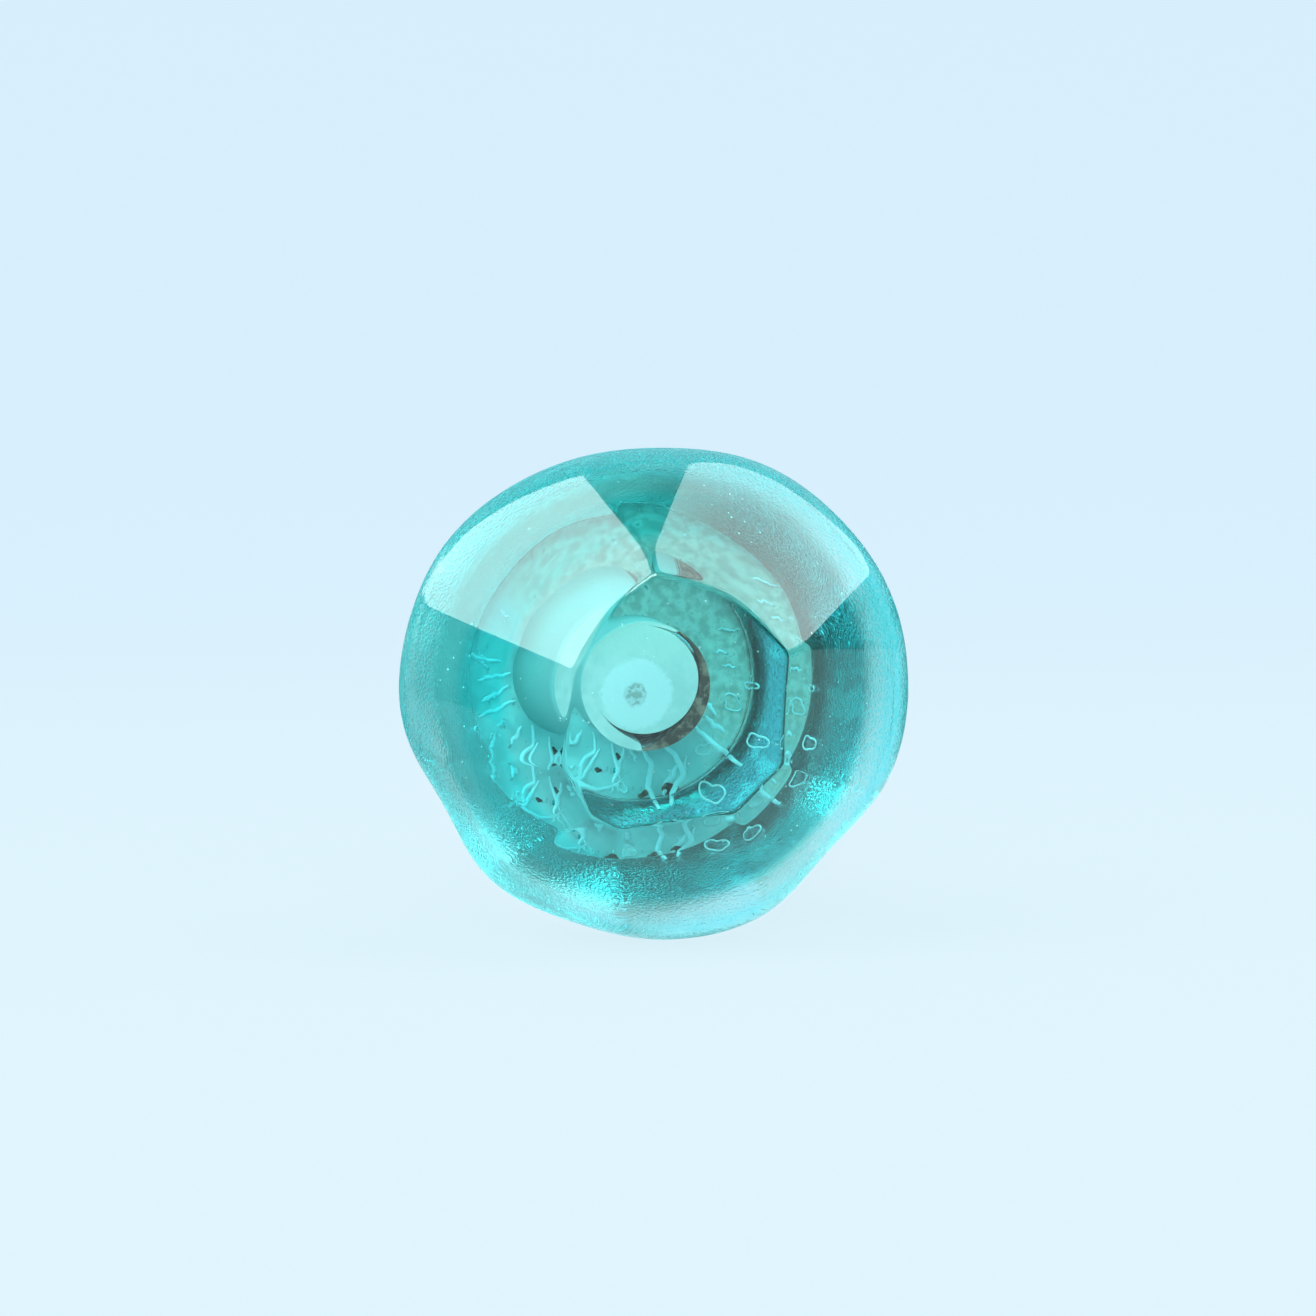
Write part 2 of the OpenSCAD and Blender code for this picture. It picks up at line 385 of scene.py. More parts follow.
def screw_grid(fixings, columns=40, per_pitch=9):
    """The screw's head and thread: a dimpled cheese head, then rows down the thread, which fades at the
    end chamfer."""
    angle = around(columns)
    full = fixings.thread_radius / MM
    head_r = fixings.head_radius / MM
    seat = SOCKET_END - fixings.head_height / MM
    front = SOCKET_END - 0.1
    head = [(0.18, front - 0.42), (0.5, front - 0.30), (0.62, front), (head_r - 0.62, front),
            (head_r - 0.3, front - 0.12), (head_r - 0.08, front - 0.38), (head_r, front - 0.7),
            (head_r, seat + 0.1), (head_r - 0.1, seat), (full + 0.1, seat)]
    rows = [level(angle, radius, z) for radius, z in head]
    count = int((seat - TIP) / (fixings.pitch / MM) * per_pitch)
    for z in np.linspace(seat - 0.05, TIP, count):
        radius = thread_radius(angle, z, fixings)
        chamfer = full - 0.85 + (z - TIP) * 0.9
        rows.append(level(angle, np.minimum(radius, chamfer), z))
    return np.stack(rows), (0, 0, front - 0.45), (0, 0, TIP)


def nut_grid(back, front, fixings, columns=120):
    """A hexagon nut: a hexagon's radius limited by a cone at both faces, and a threaded bore that runs just
    clear of the screw's thread."""
    angle = around(columns)
    half = fixings.nut_across_flats / MM / 2
    sector = (angle + math.pi / 6) % (math.pi / 3) - math.pi / 6
    hexagon = half / np.cos(sector)
    height = front - back
    face = half * 0.975
    cone = 1.732
    rows_per_mm = 14
    shares = (0.0, 0.35, 0.7, 0.97)
    depths = np.concatenate([np.linspace(0, 0.45, 12), np.linspace(0.6, height / 2, 4)])

    def bore(z):
        mouth = fixings.thread_radius / MM + 0.28 - min(z - back, front - z) * 1.4
        return np.maximum(thread_radius(angle, z, fixings) + 0.05, mouth)

    places = [(bore(front) * (1 - t) + face * t, front) for t in shares]
    places += [(np.minimum(hexagon, face + cone * depth), front - depth) for depth in depths]
    places += [(np.minimum(hexagon, face + cone * depth), back + depth) for depth in depths[::-1][1:]]
    places += [(bore(back) * (1 - t) + face * t, back) for t in shares[::-1]]
    places += [(bore(z), z) for z in np.linspace(back, front, int(height * rows_per_mm))[1:-1]]
    return np.stack([level(angle, radius, z) for radius, z in places])


def floor_height(flat, glass):
    """Height just inside the glass over its back: level over the resin, and along the flare outside it."""
    reach = np.hypot(flat[..., 0], flat[..., 1])
    flare = back_height(np.maximum(reach, NECK_R), RIM_R, glass) + 0.35
    share = np.clip((reach - NECK_R + 0.5) / 0.8, 0, 1)
    return (1 - share) * (GLASS_BACK + 0.2) + share * flare


def crack(line, width, seed, glass, steps=36):
    """One crack: a thin ridge along a smooth curve through points given as (bearing, radius), which wanders
    sideways by a seeded ripple and thins out at its ends."""
    rng = np.random.default_rng(seed)
    marks = np.array([at(bearing, reach) for bearing, reach in line])
    t = np.linspace(0, 1, steps)
    knots = np.linspace(0, 1, len(marks))
    flat = np.stack([np.interp(t, knots, marks[:, 0]), np.interp(t, knots, marks[:, 1])], -1)
    for _ in range(4):
        flat[1:-1] = (flat[:-2] + 2 * flat[1:-1] + flat[2:]) / 4
    step = np.gradient(flat, axis=0)
    across = np.stack([-step[:, 1], step[:, 0]], -1) / np.hypot(step[:, 0], step[:, 1])[:, None]
    wander = 0.09
    drift = sum(np.sin(k * 2.4 * math.pi * t + TAU * rng.random()) * wander / k for k in (1, 2, 3, 5))
    flat = flat + across * (drift * np.sin(math.pi * t) ** 0.5)[:, None]
    taper = 0.35 + 0.65 * np.sin(math.pi * np.clip(t, 0.03, 0.97)) ** 0.6
    return ridge(flat, width * taper, floor_height(flat, glass), False)


def seed_bubble(centre, radius):
    """A tiny round bubble."""
    polar = np.linspace(0, math.pi, 7)[1:-1, None]
    return stacked(centre + radius * level(around(8), np.sin(polar), np.cos(polar)))


def ridge(flat, width, z, closed):
    """A thin ridge with a rounded top along a flat path, lying at z."""
    step = np.roll(flat, -1, 0) - np.roll(flat, 1, 0) if closed else np.gradient(flat, axis=0)
    step = step / np.maximum(np.hypot(step[:, 0], step[:, 1]), 1e-9)[:, None]
    path = np.concatenate([flat, np.broadcast_to(z, (len(flat),))[:, None]], 1)
    side = np.stack([step[:, 1], -step[:, 0], np.zeros(len(flat))], -1)
    up = np.zeros_like(side)
    up[:, 2] = 1
    section = np.array([(0, -0.3), (0.5, 0), (0.22, 0.8), (0.0, 1.0), (-0.22, 0.8), (-0.5, 0)])
    side = side * np.broadcast_to(width, (len(flat),))[:, None]
    return swept(path, side, up * RIDGE_HEIGHT, section, closed)


def gap_filling(name, wall, shift, radius, start, end, taper, above, steps=72):
    """A crescent between the socket's wall and the plug, as deep as the socket and ending above its end. It
    narrows at both ends as the sine of the way along it to the power of taper."""
    angle = np.radians(np.linspace(start, end, steps))
    outer = np.stack([np.cos(angle), np.sin(angle)], -1) * wall
    toward = outer - shift
    inner = shift + toward / np.hypot(toward[:, :1], toward[:, 1:]) * radius
    share = np.clip(np.sin(np.linspace(0, math.pi, steps))[:, None] ** taper, 0.03, 1)
    inner = outer + (inner - outer) * share
    loop = np.concatenate([outer, inner[::-1][1:-1]])
    levels = np.linspace(SOCKET_END + above, GLASS_BACK + 0.1, 10)
    strips = [np.concatenate([loop, np.full((len(loop), 1), z)], 1) for z in levels]
    points = np.concatenate(strips)
    count = len(loop)
    walls = grid_faces(len(levels), count, False, True)
    j = np.arange(steps - 1)
    partner = (count - j) % count
    following = np.where(j + 1 == steps - 1, steps - 1, count - j - 1)
    cap = np.stack([j, j + 1, following, partner], -1)
    ends = np.array([[0, 1, count - 1], [steps - 2, steps - 1, steps]])
    base = count * (len(levels) - 1)
    quads = np.concatenate([walls, cap[1:-1], (cap[:, ::-1] + base)[1:-1]])
    return write_mesh(name, points, quads, np.concatenate([ends, ends[:, ::-1] + base]), 40)


def blob(centre, size, seed, steps=40):
    """Outline of a trapped bubble: a closed path whose radius swells and shrinks by three seeded waves."""
    rng = np.random.default_rng(seed)
    angle = around(steps)
    radius = np.ones(steps)
    for k in (2, 3, 4):
        radius += 0.22 / (k - 1) * np.sin(k * angle + TAU * rng.random())
    stretch = 1 + 0.5 * rng.random()
    turn = TAU * rng.random()
    x, y = radius * np.cos(angle) * stretch, radius * np.sin(angle)
    cos, sin = math.cos(turn), math.sin(turn)
    return np.array(centre) + size * np.stack([x * cos - y * sin, x * sin + y * cos], -1)


# ---- materials

class Paint:
    """A node material under construction, with short calls for the nodes that the finishes share."""

    def __init__(self, name):
        self.material = bpy.data.materials.new(name)
        self.material.use_nodes = True
        self.tree = self.material.node_tree
        self.shader = self.tree.nodes["Principled BSDF"]
        self.output = self.tree.nodes["Material Output"]
        self.where = self.tree.nodes.new("ShaderNodeTexCoord").outputs["Object"]

    def feed(self, socket, value):
        """Links a node's output to a socket, or gives the socket a plain value."""
        if isinstance(value, bpy.types.NodeSocket):
            self.tree.links.new(value, socket)
        else:
            socket.default_value = value

    def node(self, kind, inputs, **settings):
        """A new node with its inputs and settings."""
        made = self.tree.nodes.new(kind)
        for key, value in settings.items():
            setattr(made, key, value)
        for key, value in inputs.items():
            self.feed(made.inputs[key], value)
        return made

    def set(self, **values):
        """Sets the finish's own inputs, whose names are written with _ for a space."""
        for key, value in values.items():
            self.feed(self.shader.inputs[key.replace("_", " ")], value)

    def noise(self, scale, detail=3.0):
        return self.node("ShaderNodeTexNoise", {"Vector": self.where, "Scale": scale, "Detail": detail,
                                                "Roughness": 0.55}).outputs["Fac"]

    def remap(self, value, low, high, to_low=0.0, to_high=1.0):
        """Carries low..high smoothly over to to_low..to_high."""
        return self.node("ShaderNodeMapRange", {"Value": value, "From Min": low, "From Max": high,
                                                "To Min": to_low, "To Max": to_high},
                         interpolation_type="SMOOTHSTEP").outputs["Result"]

    def fade(self, value, low, high, to_low=0.0, to_high=1.0):
        """The same between two places given in millimetres."""
        return self.remap(value, low * MM, high * MM, to_low, to_high)

    def maths(self, operation, a, b=0.0):
        return self.node("ShaderNodeMath", {0: a, 1: b}, operation=operation).outputs[0]

    def add(self, a, b):
        return self.maths("ADD", a, b)

    def times(self, a, b):
        return self.maths("MULTIPLY", a, b)

    def mix(self, share, a, b):
        made = self.node("ShaderNodeMix", {}, data_type="RGBA")
        for key, value in (("Factor", share), ("A", a), ("B", b)):
            self.feed(next(s for s in made.inputs if s.name == key and s.enabled), value)
        return next(s for s in made.outputs if s.enabled)

    def bump(self, height, strength, distance, under=None):
        """A bump whose full height is distance, in millimetres."""
        inputs = {"Height": height, "Strength": strength, "Distance": distance * MM}
        if under is not None:
            inputs["Normal"] = under
        return self.node("ShaderNodeBump", inputs).outputs["Normal"]

    def place(self, centre=(0, 0)):
        """The position's x, y and z, in metres, and the distance from a line along Y through centre."""
        parts = self.node("ShaderNodeSeparateXYZ", {"Vector": self.where}).outputs
        x, y, z = parts["X"], parts["Y"], parts["Z"]
        dx, dz = self.maths("SUBTRACT", x, centre[0]), self.maths("SUBTRACT", z, centre[1])
        square = self.add(self.times(dx, dx), self.times(dz, dz))
        return x, y, z, self.maths("POWER", square, 0.5)


def colour(r, g, b):
    return (r, g, b, 1.0)


def teal_glass_material(glass):
    """Clear teal glass: polished in front, with painted shade as a deeper tint at the facets' outer ends and
    the rim's edge; frosted and patchy on the moulded back, where the flare's dark tint is painted shade; and
    grainy round the rim, whose tint is painted light, lighter towards the lower left."""
    paint = Paint("teal_glass")
    x, y, z, radius = paint.place(glass.rim_shift)
    front_y = -(glass.rim_z + 0.35) * MM
    behind = paint.remap(y, front_y - 0.4 * MM, front_y + 0.2 * MM)
    outer = paint.fade(paint.add(radius, paint.times(z, -0.05)), 14.2, 16.0)
    grain = paint.noise(4200.0)
    coarse = paint.noise(700.0)
    # Painted light: the rim's tint runs from its painted shade to its painted light, lighter towards the
    # lower left, broken by coarse random clouds and a fine grain
    light = paint.fade(paint.add(paint.times(x, -0.35), paint.times(z, -0.9)), -7.0, 9.0, 0.1)
    light = paint.times(light, paint.remap(coarse, 0.25, 0.6, 0.6))
    light = paint.add(light, paint.remap(grain, 0.35, 0.65, -0.35, 0.35))
    rim = paint.mix(light, glass.rim_painted_shade, glass.rim_painted_light)
    # Painted shade: the flare is tinted dark teal, lighter in random patches
    flare = paint.mix(paint.remap(paint.noise(330.0), 0.50, 0.60), glass.flare_painted_shade, glass.flare_shade_patch)
    # Painted shade: a deep, red-poor tint over the facets' outer ends and the rim's edge darkens the ring
    # that the glass shows there
    ring = paint.times(paint.fade(radius, 12.0, 13.4), paint.fade(radius, 15.6, 16.8, 1.0, 0.0))
    ring = paint.add(ring, paint.fade(radius, 17.2, 18.8, 0.0, 0.75))
    front = paint.mix(ring, colour(1, 1, 1), glass.ring_painted_shade)
    shade = paint.mix(behind, front, paint.mix(outer, flare, rim))
    frost = paint.fade(radius, 14.8, 16.6, glass.flare_roughness, glass.rim_roughness)
    rough = paint.add(paint.times(behind, frost), glass.polish)
    normal = paint.bump(paint.times(grain, behind), 0.8, 0.12)
    paint.set(Base_Color=shade, Roughness=rough, IOR=1.5, Transmission_Weight=1.0, Normal=normal)
    absorb = paint.node("ShaderNodeVolumeAbsorption", {"Color": tuple(glass.absorption_colour),
                                                       "Density": glass.absorption_density})
    paint.tree.links.new(absorb.outputs["Volume"], paint.output.inputs["Volume"])
    return paint.material


def cement_material():
    """Pale set cement, cloudy, with painted shade that makes it greyer at the top and darker deeper down the
    socket, and a pale spot over the screw's head, a painted highlight, with a grey fleck in its middle."""
    paint = Paint("pale_cement")
    _, y, z, away = paint.place(HEAD_HIGHLIGHT)
    cloud = paint.noise(420.0, 4.0)
    crumb = paint.noise(2300.0)
    base = paint.mix(paint.remap(cloud, 0.35, 0.7), colour(0.46, 0.66, 0.62), colour(0.60, 0.76, 0.72))
    # Painted shade: greyer towards the top of the plug
    base = paint.mix(paint.fade(z, 0.2, 4.6, 0.0, 0.85), base, colour(0.50, 0.70, 0.62))
    # Painted highlight: a pale spot with a ragged edge over the screw's head, for the head's lit face
    for noise, spread in ((cloud, 0.8), (crumb, 0.9)):
        away = paint.add(away, paint.times(paint.maths("SUBTRACT", noise, 0.5), spread * MM))
    base = paint.mix(paint.fade(away, 2.5, 2.95, 0.9, 0.0), base, colour(0.66, 0.82, 0.81))
    fleck = paint.times(paint.fade(away, 0.7, 1.0, 1.0, 0.0), paint.remap(crumb, 0.42, 0.55, 0.35))
    base = paint.mix(fleck, base, colour(0.33, 0.42, 0.40))
    # Painted shade: darker deeper down the socket
    deep = paint.fade(y, -(SOCKET_END - 0.2), -(SOCKET_END - 1.6))
    base = paint.mix(deep, base, colour(0.38, 0.56, 0.53))
    paint.set(Base_Color=base, Roughness=0.7, Normal=paint.bump(crumb, 0.4, 0.1))
    return paint.material


def residue_and_shadow_material():
    """Dark and crumbly: dried adhesive that is also painted shade in the socket's gap, and painted shadow
    beside the resin's cracks.
    """
    paint = Paint("dark_residue_and_shadow")
    cloud = paint.noise(1500.0, 4.0)
    base = paint.mix(paint.remap(cloud, 0.4, 0.65), colour(0.07, 0.048, 0.038), colour(0.30, 0.22, 0.17))
    paint.set(Base_Color=base, Roughness=0.85, Normal=paint.bump(cloud, 0.6, 0.1))
    return paint.material


def resin_material():
    """Clouded resin over the cup: brown-grey above and to the right, teal below and to the left, with
    fine dark specks."""
    paint = Paint("clouded_resin")
    x, _, z, _ = paint.place()
    broad = paint.noise(230.0)
    fine = paint.noise(1300.0, 4.0)
    side = paint.add(paint.times(x, 0.6), paint.times(z, 0.8))
    side = paint.add(side, paint.times(paint.maths("SUBTRACT", broad, 0.5), 16 * MM))
    brown = paint.mix(paint.remap(fine, 0.35, 0.65), colour(0.52, 0.47, 0.40), colour(0.74, 0.70, 0.62))
    teal = paint.mix(paint.remap(broad, 0.4, 0.62), colour(0.46, 0.68, 0.66), colour(0.66, 0.82, 0.80))
    base = paint.mix(paint.fade(side, -4.5, 3.5), teal, brown)
    base = paint.mix(paint.remap(fine, 0.60, 0.74, 0.0, 0.6), base, colour(0.14, 0.15, 0.12))
    paint.set(Base_Color=base, Roughness=0.5, Normal=paint.bump(fine, 0.35, 0.1))
    return paint.material


def broken_resin_and_glint_material():
    """Bright finish of the cracks, the bubbles' rims and the seeds in the glass: on the cracks partly the
    whiteness of broken resin, and otherwise painted glint.
    """
    paint = Paint("broken_resin_and_glint")
    base = paint.mix(paint.noise(1100.0, 2.0), colour(0.70, 0.95, 0.95), colour(1, 1, 1))
    paint.set(Base_Color=base, Roughness=0.3)
    return paint.material


def plated_material(name, light, dark, rough, lathe=False, spots=0.0):
    """Plated metal: two tones in soft clouds, uneven gloss, fine scratches, turning marks if it was turned,
    and a share of brown spots."""
    paint = Paint(name)
    base = paint.mix(paint.remap(paint.noise(160.0, 4.0), 0.3, 0.7), dark, light)
    if spots:
        spot = paint.remap(paint.noise(700.0), 0.66, 0.74, 0.0, spots)
        base = paint.mix(spot, base, colour(0.16, 0.12, 0.08))
    gloss = paint.remap(paint.noise(520.0), 0.3, 0.7, rough - 0.08, rough + 0.10)
    normal = paint.bump(paint.noise(3000.0), 0.10, 0.04)
    if lathe:
        wave = paint.node("ShaderNodeTexWave", {"Vector": paint.where, "Scale": 1400.0, "Distortion": 1.2,
                                                "Detail": 2.0, "Detail Scale": 300.0},
                          wave_type="BANDS", bands_direction="Y").outputs["Fac"]
        normal = paint.bump(wave, 0.12, 0.05, normal)
    paint.set(Base_Color=base, Metallic=1.0, Roughness=gloss, Normal=normal)
    return paint.material


def stage_material(studio):
    """Pale sheet lit from beneath, a little brighter near the camera than far behind."""
    paint = Paint("lit_sheet")
    _, y, _, _ = paint.place()
    glow = paint.mix(paint.fade(y, -100, 500), tuple(studio.near_glow), tuple(studio.far_glow))
    sheet = studio.sheet_colour[:3]
    base = paint.mix(paint.noise(30.0, 2.0), colour(*sheet), colour(*(0.98 * part for part in sheet)))
    paint.set(Base_Color=base, Roughness=0.8, Specular_IOR_Level=0.0, Emission_Color=glow,
              Emission_Strength=1.0)
    return paint.material


def stand(data, aim, toward, distance):
    """An object with a lamp or camera, at a distance from aim and looking back at it."""
    made = bpy.data.objects.new(data.name, data)
    made.location = aim + toward * distance
    made.rotation_euler = (-toward).to_track_quat("-Z", "Y").to_euler()
    bpy.context.scene.collection.objects.link(made)
    return made


def dress(piece, material, body, slot, *nodes):
    """Gives a piece its material and body, and hides the solids that it stands for. The slot is not used."""
    piece.data.materials.clear()
    piece.data.materials.append(material)
    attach(piece, body)
    if nodes:
        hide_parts(*nodes)
    return piece


# ---- settings

def prop_number(name, description, default):
    """A plain number."""
    return FloatProperty(name=name, description=description, default=default)


def prop_length(name, description, default):
    """A length in metres."""
    return FloatProperty(name=name, description=description, default=default, unit="LENGTH")


def prop_angle(name, description, degrees):
    """An angle, given here in degrees."""
    return FloatProperty(name=name, description=description, default=math.radians(degrees), subtype="ANGLE")


def prop_shift(name, description, across, up):
    """A shift to the right and up, in metres."""
    return FloatVectorProperty(name=name, description=description, size=2, default=(across, up),
                               unit="LENGTH")


def prop_tint(name, description, *rgb):
    """A colour."""
    return FloatVectorProperty(name=name, description=description, size=4, default=(*rgb, 1), subtype="COLOR",
                               min=0, max=1)


def prop_count(name, description, default, least):
    """A whole number."""
    return IntProperty(name=name, description=description, default=default, min=least)


class KnobGlassSettings(bpy.types.PropertyGroup):
    """Sizes and tints of the glass. Sizes without a unit are in millimetres."""
    rim_diameter: prop_length("Rim diameter", "Width of the glass across its rim", 0.0406)
    rim_shift: prop_shift("Rim shift", "How far the rim sits off the screw's axis", 0.0016, -0.0010)
    rim_z: prop_number("Rim height", "Height of the rim's middle above the foot", 20.4)
    rim_depth: prop_number("Rim depth", "Width of the rim's round at the back", 1.9)
    rim_drop: prop_number("Rim drop", "Height of the rim's round at the back", 1.7)
    front_round: prop_number("Front round", "Width of the rim's round in front", 1.2)
    ledge_width: prop_number("Ledge width", "Width of the shallow slope inside the rim", 2.5)
    ledge_slope: prop_angle("Ledge slope", "Slope of the back near the rim", 12)
    knee_crispness: prop_number("Knee crispness", "Sharpness of the bend in the back", 2.5)
    group_softness: prop_number("Facet softness", "Sharpness inside a facet group", 1.1)
    edge_crispness: prop_number("Edge crispness", "Sharpness between facets", 9.0)
    facet_wave: prop_number("Facet wave", "Unevenness of the hand-ground facets", 0.02)
    rim_wave: prop_number("Rim wave", "Unevenness of the rim", 0.05)
    socket_radius: prop_length("Socket radius", "Radius of the blind socket", 0.005)
    columns: prop_count("Columns", "Grid columns round the glass", 352, 48)
    crown_rows: prop_count("Crown rows", "Grid rows over the facets", 150, 20)
    back_rows: prop_count("Back rows", "Grid rows down the back", 56, 12)
    # The rim's two tints are painted shade and painted light, mixed by where light falls on it
    rim_painted_shade: prop_tint("Rim shade", "Darker tint of the grainy rim", 0.08, 0.90, 0.93)
    rim_painted_light: prop_tint("Rim light", "Lighter tint of the grainy rim", 0.52, 1.0, 1.0)
    # Painted shade of the flare, and its lighter random patches
    flare_painted_shade: prop_tint("Back tint", "Tint of the flare behind the facets", 0.005, 0.26, 0.30)
    flare_shade_patch: prop_tint("Flare patches", "Tint of the flare's lighter patches", 0.01, 0.62, 0.66)
    # Painted shade of the facets' ends and the rim's edge
    ring_painted_shade: prop_tint("Ring tint", "Tint of the facets' ends and the rim's edge", 0.10, 0.97, 1.0)
    rim_roughness: prop_number("Rim roughness", "Frost of the moulded rim", 0.36)
    flare_roughness: prop_number("Flare roughness", "Frost of the moulded flare", 0.18)
    polish: prop_number("Polish", "Roughness of the polished front", 0.012)
    absorption_colour: prop_tint("Glass colour", "Colour that thick glass takes", 0.10, 0.96, 0.965)
    absorption_density: prop_number("Glass depth", "Strength of the glass colour", 44.0)


class KnobFixingSettings(bpy.types.PropertyGroup):
    """Sizes of the screw, the nuts and the cement plug."""
    thread_radius: prop_length("Thread radius", "Outer radius of the thread", 0.002)
    pitch: prop_length("Pitch", "Distance between threads", 0.0007)
    head_radius: prop_length("Head radius", "Radius of the screw head", 0.0035)
    head_height: prop_length("Head height", "Height of the screw head", 0.0026)
    nut_across_flats: prop_length("Nut across flats", "Width of both nuts", 0.007)
    plug_radius: prop_length("Plug radius", "Radius of the cement plug", 0.0042)
    plug_shift: prop_shift("Plug shift", "How far the plug sits off the screw's axis", -0.00009, 0.00049)


class KnobStudioSettings(bpy.types.PropertyGroup):
    """Camera, lit sheet and lamps."""
    azimuth: prop_angle("Azimuth", "Bearing of the camera", -9)
    elevation: prop_angle("Elevation", "Height angle of the camera", 5)
    distance: prop_length("Distance", "Distance from the rim to the camera", 0.33)
    frame_width: prop_length("Frame width", "Width of the picture at the rim", 0.104)
    aim_offset: prop_shift("Aim offset", "Picture's middle from the rim's middle", 0.00024, 0.0027)
    near_glow: prop_tint("Near glow", "Glow of the lit sheet round the knob", 0.68, 0.84, 0.91)
    far_glow: prop_tint("Far glow", "Glow of the lit sheet far behind", 0.62, 0.79, 0.91)
    sheet_colour: prop_tint("Sheet", "Colour of the sheet by reflected light", 0.030, 0.032, 0.033)
    sky_colour: prop_tint("Room light", "Light all round", 0.19, 0.25, 0.29)
    left_strength: prop_number("Left softbox", "Strength of the left softbox", 3.9)
    right_strength: prop_number("Right softbox", "Strength of the right softbox", 2.5)
    fill_strength: prop_number("Fill lamp", "Strength of the soft lamp over the camera", 2.2)
    softbox_angle: prop_angle("Softbox width", "How wide each softbox looks", 50)


# ---- operators

class KNOB_OT_glass(bpy.types.Operator):
    """Build the faceted glass head"""
    bl_idname = "knob.glass"
    bl_label = "Glass head"

    def execute(self, context):
        glass = context.scene.knob_glass
        grid, start, end = glass_grid(glass)
        piece = turned("faceted_glass", grid, start, end)
        dress(piece, teal_glass_material(glass), "knob", "teal_glass", "glass_head")
        return {"FINISHED"}


class KNOB_OT_setting(bpy.types.Operator):
    """Build the cement plug, and in the gap beside it the dark crescent, partly adhesive and partly painted
    shade, and the skim of cement
    """
    bl_idname = "knob.setting"
    bl_label = "Socket cement"

    def execute(self, context):
        glass, fixings = context.scene.knob_glass, context.scene.knob_fixings
        radius = fixings.plug_radius / MM
        shift = np.array(fixings.plug_shift) / MM
        front = SOCKET_END + 0.05
        profile = [(0, front), (radius, front), (radius, GLASS_BACK), (0, GLASS_BACK)]
        profile = rounded(profile, 0.06, closed=False)
        plug = revolve("cement_plug", profile, centre=tuple(shift), poles=True)
        dress(plug, cement_material(), "knob", "pale_cement", "socket_cement")
        wall = glass.socket_radius / MM + 0.03
        # Dark crescent in the deep gap: partly dried adhesive, partly painted shade
        residue = gap_filling("socket_residue_and_shade", wall, shift, radius + 0.02, -96, 62, 1.0, 0.03)
        dress(residue, residue_and_shadow_material(), "knob", "pale_cement")
        skim = gap_filling("socket_skim", wall, shift, radius - 0.1, 58, 268, 0.3, 0.04)
        dress(skim, plug.data.materials[0], "knob", "pale_cement")
        return {"FINISHED"}


class KNOB_OT_resin(bpy.types.Operator):
    """Build the resin bed with its cracks and bubbles, the painted shadows beside the cracks, and the seeds
    in the glass
    """
    bl_idname = "knob.resin"
    bl_label = "Resin bed"

    def execute(self, context):
        glass = context.scene.knob_glass
        front = GLASS_BACK + 0.04
        columns = 160
        angle = around(columns)
        rows = []
        hole, edge, back = 2.0, NECK_R - 0.02, RESIN_BACK + 0.02
        for rho in np.linspace(hole, NECK_R - 0.15, 60):
            x, y = rho * np.cos(angle), rho * np.sin(angle)
            lift = 0.05 * ripple(x, y, 1.6, 31) + 0.04 * ripple(x, y, 4.0, 32)
            rows.append(level(angle, rho, front + 0.1 + lift))
        rows += [level(angle, rho, z) for rho, z in ((edge, front), (edge, back), (hole, back))]
        bed = turned("resin_disc", np.stack(rows))
        dress(bed, resin_material(), "knob", "clear_resin", "resin_bed")
        parts = [crack(line, 0.30 + 0.18 * width, 40 + k, glass) for k, (width, line) in enumerate(CRACKS)]
        rng = np.random.default_rng(8)
        for k in range(16):
            bearing = rng.uniform(150, 400)
            inner, reach = rng.uniform(6.6, 8.4), rng.uniform(0.7, 1.5)
            line = ((bearing, inner), (bearing + rng.uniform(-7, 7), min(inner + reach, NECK_R + 0.6)))
            parts.append(crack(line, 0.2, 140 + k, glass))
        for k, (bearing, reach, size) in enumerate(BUBBLES):
            flat = blob(at(bearing, reach), size, 500 + k)
            parts.append(ridge(flat, 0.16, floor_height(flat, glass), True))
        # The cracks' and bubbles' bright ridges: partly broken resin, partly painted glint
        cracks = joined("resin_cracks", parts)
        dress(cracks, broken_resin_and_glint_material(), "knob", "clear_resin")
        # Painted shadow: small dark domes beside the cracks
        spots = []
        dome = ((0.3, 0.1), (0.7, 0.08), (0.95, 0.04), (1.0, 0.0), (0.9, -0.03), (0.3, -0.04))
        for k, (bearing, reach, size) in enumerate(CRACK_SHADOWS):
            flat = blob(at(bearing, reach), size, 700 + k)
            middle = flat.mean(0)
            z = floor_height(middle[None], glass)[0] - 0.02
            rings = [np.concatenate([middle + (flat - middle) * t, np.full((len(flat), 1), z + h)], 1)
                     for t, h in dome]
            spots.append(stacked(np.stack(rings)))
        crack_shadow_piece = joined("painted_crack_shadows", spots)
        dress(crack_shadow_piece, residue_and_shadow_material(), "knob", "clear_resin")
        # Painted glint: the seeds are small bright balls for the bubbles in the glass
        seeds = []
        seed_reach, over_socket = 17.5, 7
        shift = np.array([*glass.rim_shift, 0]) / MM
        for k in range(150):
            bearing, reach = rng.uniform(0, TAU), seed_reach * math.sqrt(rng.random())
            x, y = reach * math.cos(bearing), reach * math.sin(bearing)
            top = crown_height(np.array([x]), np.array([y]), glass)[0]
            low = back_height(np.array([max(reach, NECK_R)]), RIM_R, glass)[0]
            low = SOCKET_END if reach < over_socket else low
            z = top - 0.3 - rng.random() ** 2 * (top - low - 1.0)
            seeds.append(seed_bubble(np.array([x, y, z]) + shift, rng.uniform(0.03, 0.085)))
        grains = joined("glass_seeds", seeds)
        dress(grains, broken_resin_and_glint_material(), "knob", "teal_glass")
        return {"FINISHED"}


